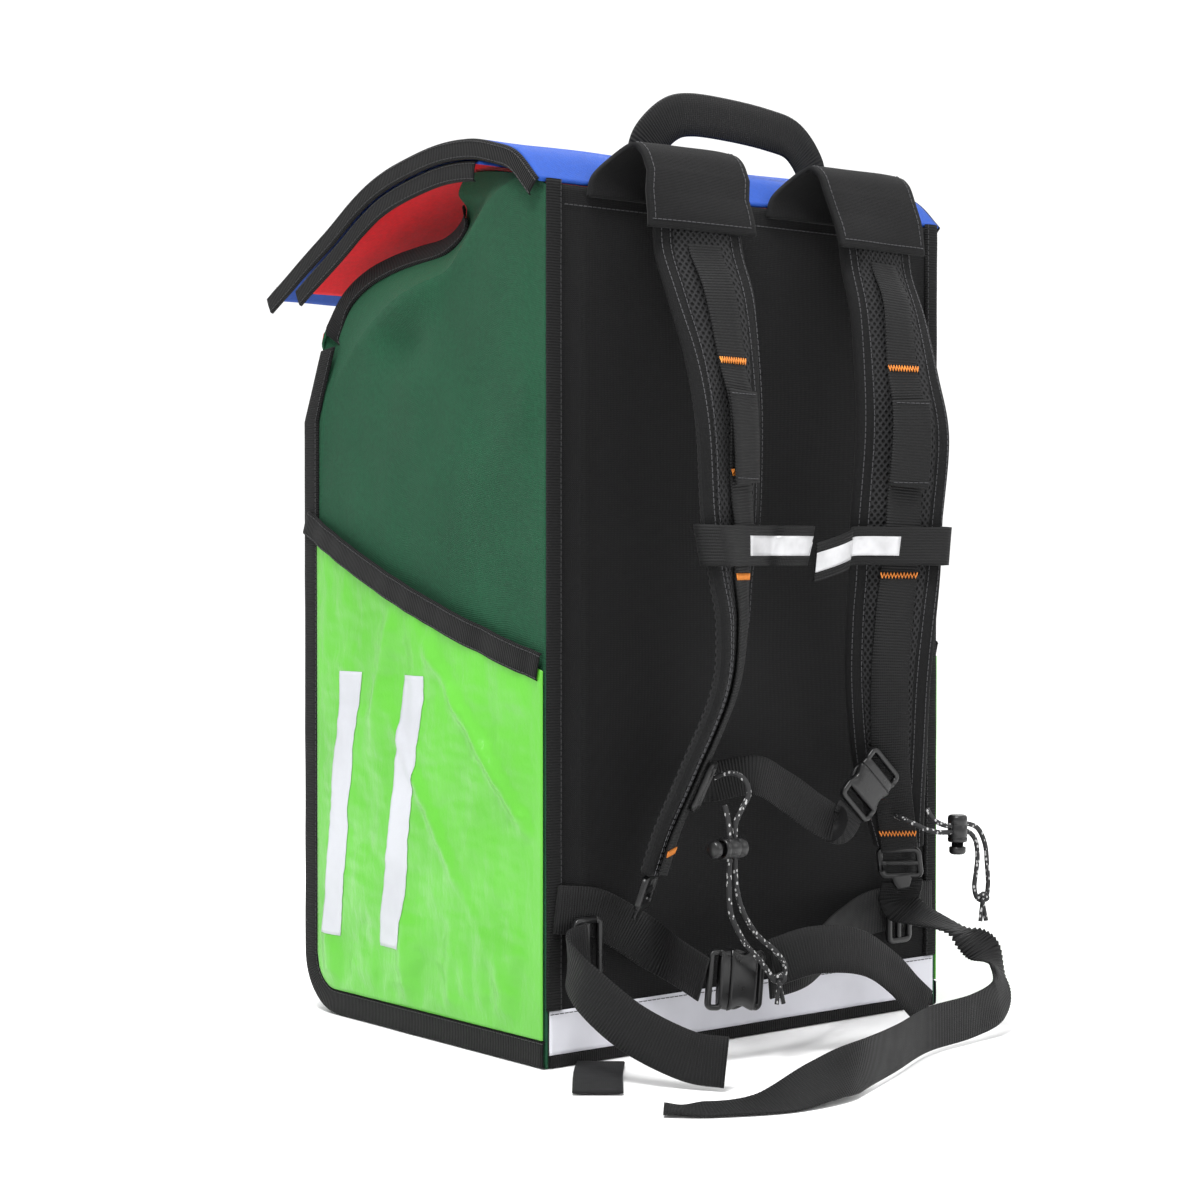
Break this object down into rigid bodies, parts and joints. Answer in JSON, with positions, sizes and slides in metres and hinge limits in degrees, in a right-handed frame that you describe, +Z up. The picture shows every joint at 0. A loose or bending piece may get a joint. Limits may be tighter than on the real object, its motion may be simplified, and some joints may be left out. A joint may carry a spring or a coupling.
{
  "type": "backpack",
  "caption": "Upright courier backpack with a roll-top mouth under a lid, side pockets, a carrying handle, padded shoulder straps, loose hip webbing and cord locks",
  "frame": {"origin": "Middle of the bag's bottom, on the floor", "axes": "+Z points up from the bottom to the lid, and -Y is the harness side with the shoulder straps. +X is the wearer's right"},
  "size_m": [0.3833, 0.494, 0.6122],
  "materials": {
    "green_canvas": "dark green woven canvas",
    "lime_nylon": "thin glossy lime nylon",
    "blue_canvas": "blue woven canvas",
    "red_lining": "red lining cloth",
    "black_canvas": "black woven canvas",
    "black_binding": "black ribbed binding tape",
    "black_webbing": "black ribbed webbing",
    "black_mesh": "black air mesh over foam",
    "white_vinyl": "white coated cloth",
    "reflective_tape": "silver reflective tape",
    "black_plastic": "black moulded plastic",
    "elastic_cord": "black braided elastic cord with light flecks"
  },
  "bodies": {
    "bag": {"back_binding_left": "black_binding", "back_binding_right": "black_binding", "back_panel": "black_canvas", "back_strip": "white_vinyl", "bottom_panel": "black_canvas", "cord_left": "elastic_cord", "cord_right": "elastic_cord", "flap_binding_left": "black_binding", "flap_binding_right": "black_binding", "floor_webbing": "black_webbing", "front_panel": "black_canvas", "handle": "black_webbing", "hip_buckle_prongs": "black_plastic", "hip_buckle_socket": "black_plastic", "hip_glide_left": "black_plastic", "hip_glide_right": "black_plastic", "hip_tail_left": "black_webbing", "hip_tail_right": "black_webbing", "hip_webbing_left": "black_webbing", "hip_webbing_right": "black_webbing", "inner_flap": "red_lining", "keeper_left": "black_webbing", "keeper_right": "black_webbing", "ladder_lock_left": "black_plastic", "ladder_lock_right": "black_plastic", "lid": "blue_canvas", "lid_binding_left": "black_binding", "lid_binding_right": "black_binding", "lock_left_barrel": "black_plastic", "lock_right_barrel": "black_plastic", "mouth_binding_left": "black_binding", "mouth_binding_right": "black_binding", "pocket_hem_left": "black_binding", "pocket_hem_right": "black_binding", "reflective_tape_left": "reflective_tape", "reflective_tape_right": "reflective_tape", "side_binding_left": "black_binding", "side_binding_right": "black_binding", "side_panel_left": "green_canvas", "side_panel_right": "green_canvas", "side_pocket_left": "lime_nylon", "side_pocket_right": "lime_nylon", "sternum_band_left": "black_webbing", "sternum_band_right": "black_webbing", "sternum_buckle_prongs": "black_plastic", "sternum_buckle_socket": "black_plastic", "sternum_glide": "black_plastic", "sternum_webbing": "black_webbing", "strap_cap_left": "black_canvas", "strap_cap_right": "black_canvas", "strap_pad_left": "black_mesh", "strap_pad_right": "black_mesh", "strap_webbing_left": "black_webbing", "strap_webbing_right": "black_webbing", "webbing_end": "black_webbing"},
    "left_button": {"lock_left_button": "black_plastic"},
    "right_button": {"lock_right_button": "black_plastic"}
  },
  "joints": [
    {"name": "lock_left_button_slide", "type": "slide", "parent": "bag", "child": "left_button", "axis": [1, 0, 0], "range_m": [0, 0.003], "stiffness_N_per_m": 300},
    {"name": "lock_right_button_slide", "type": "slide", "parent": "bag", "child": "right_button", "axis": [0, 0, 1], "range_m": [0, 0.003], "stiffness_N_per_m": 300}
  ]
}
